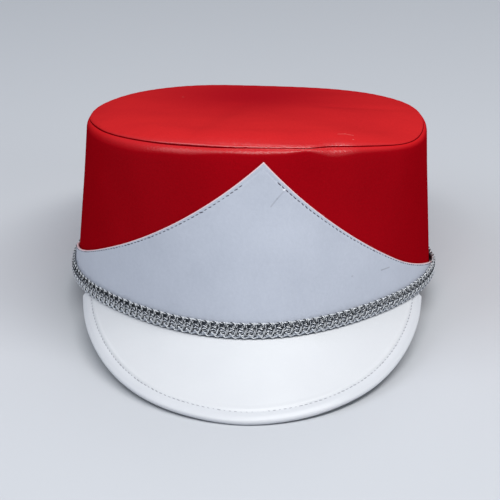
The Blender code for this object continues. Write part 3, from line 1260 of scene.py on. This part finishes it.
def stitch_form(middle, along, out):
    """Place, turn and size of one stitch: along its line, but a little slanted and uneven."""
    along = along.normalized()
    side = along.cross(out).normalized()
    along = along + side * STITCH_SLANT * (STITCH_LEAN + noise.noise(middle * SLANT_PACE))
    side = along.cross(out).normalized()
    uneven = 1 + STITCH_UNEVEN * noise.noise(middle * SIZE_PACE)
    thick = uneven * STITCH_THICKNESS / 2
    size = Matrix.Diagonal((thick, thick, uneven * STITCH_LENGTH / 2, 1))
    turned = Matrix((side, along.cross(side).normalized(), along.normalized())).transposed()
    return HAT @ Matrix.Translation(middle) @ turned.to_4x4() @ size


def sew(name, places, material, slot, node):
    """One stitch, copied to each place; a place is a middle, a direction along and one outwards."""
    bpy.ops.mesh.primitive_uv_sphere_add(segments=8, ring_count=6, radius=1)
    stitch = bpy.context.object
    stitch.name = name
    bpy.ops.object.shade_smooth()
    copies = []
    for middle, along, out in places:
        copy = bpy.data.objects.new(name, stitch.data.copy())
        bpy.context.collection.objects.link(copy)
        copy.data.transform(stitch_form(middle, along, out))
        copies.append(copy)
    bpy.data.objects.remove(stitch)
    activate(copies[0])
    for copy in copies:
        copy.select_set(True)
    bpy.ops.object.join()
    bpy.context.object.name = name
    finish_piece(bpy.context.object, slot, node, material)


def spaced(points, pitch):
    """Pairs of place and direction at an even pitch along a line of points."""
    spots = []
    due = 0.0
    for here, there in zip(points, points[1:]):
        step = there - here
        while due < step.length:
            spots.append((here + step * (due / step.length), step.normalized()))
            due += pitch
        due -= step.length
    return spots


def hem_line(side):
    """Points of the flat panel's stitched line on one side, from near the point to the wing."""
    reach = wing_reach(side)
    points = []
    for i in range(HEM_START, HEM_POINTS - HEM_END):
        here = panel_place(reach * i / HEM_POINTS, side)
        ahead = panel_place(reach * (i + 1) / HEM_POINTS, side)
        along = (ahead - here).normalized() * side
        points.append(here + Vector((along.y, -along.x)) * hem_width(i / HEM_POINTS))
    return points


def panel_stitches():
    places = []
    face = GAP + PANEL_THICKNESS + hem_relief(HEM_WIDTH, HEM_WIDTH)
    for side in (-1, 1):
        for flat, along in spaced(hem_line(side), STITCH_PITCH):
            if flat.y < BRAID_RISE + BRAID_WIDTH:
                continue
            face_here = face + panel_wave(flat.x, flat.y)
            spot = on_wall(angle_at(flat.x), flat.y, face_here)
            ahead = flat + along * STITCH_LENGTH
            direction = on_wall(angle_at(ahead.x), ahead.y, face_here) - spot
            places.append((spot, direction, outward(base_line, angle_at(flat.x))))
    thread = sewing_thread("grey_thread", GREY_THREAD)
    sew("panel_stitches", places, thread, "panel_vinyl", "front_panel")


def visor_stitch_line():
    """Points of the visor's face that lie a border's width from its rim."""
    rim = rim_search()
    line = []
    for i in range(VISOR_STITCH_POINTS + 1):
        angle = radians(VISOR_ANGLE) * (2 * i / VISOR_STITCH_POINTS - 1)
        if rim_distance(rim, angle, 0) < VISOR_BORDER:
            continue
        low, high = 0, visor_length(angle)
        for _ in range(HALVINGS):
            middle = (low + high) / 2
            far = rim_distance(rim, angle, middle) > VISOR_BORDER
            low, high = (middle, high) if far else (low, middle)
        line.append(visor_face(angle, low, rim))
    return line


def visor_stitches():
    line = spaced(visor_stitch_line(), STITCH_PITCH)
    places = [(spot, along, visor_normal(turn_of(spot))) for spot, along in line]
    thread = sewing_thread("white_thread", WHITE_THREAD)
    sew("visor_stitches", places, thread, "visor_vinyl", "visor")


# Studio


def area_light(name, place, width, depth, power, colour):
    bpy.ops.object.light_add(type="AREA", location=place)
    light = bpy.context.object
    light.name = name
    light.data.shape = "RECTANGLE"
    light.data.size = width
    light.data.size_y = depth
    light.data.energy = power
    light.data.color = colour
    aim = Vector(LIGHTS_AIM) - light.location
    light.rotation_euler = aim.to_track_quat("-Z", "Y").to_euler()


def pale_floor():
    bpy.ops.mesh.primitive_plane_add(size=FLOOR_SIZE)
    floor = bpy.context.object
    floor.name = "floor"
    finish = Finish("pale_floor", Roughness=0.9, Specular_IOR_Level=0.1)
    finish.shader.inputs["Base Color"].default_value = FLOOR_GREY
    floor.data.materials.append(finish.material)


def studio():
    pale_floor()
    for light in LIGHTS:
        area_light(*light)
    world = bpy.data.worlds.new("studio")
    world.use_nodes = True
    sky = world.node_tree.nodes["Background"]
    sky.inputs["Color"].default_value = SKY_BLUE
    sky.inputs["Strength"].default_value = SKY_STRENGTH
    bpy.context.scene.world = world
    bpy.context.scene.view_settings.view_transform = "Standard"


def camera():
    bpy.ops.object.camera_add(location=CAMERA_PLACE)
    view = bpy.context.object
    view.name = "camera"
    view.data.lens = CAMERA_LENS
    view.data.sensor_width = CAMERA_SENSOR
    view.data.clip_start = CAMERA_NEAREST
    aim = Vector(CAMERA_TARGET) - Vector(CAMERA_PLACE)
    view.rotation_euler = aim.to_track_quat("-Z", "Y").to_euler()
    bpy.context.scene.camera = view


camera()
studio()
crown_side()
crown_top()
front_panel()
trim_braid()
visor()
panel_stitches()
visor_stitches()
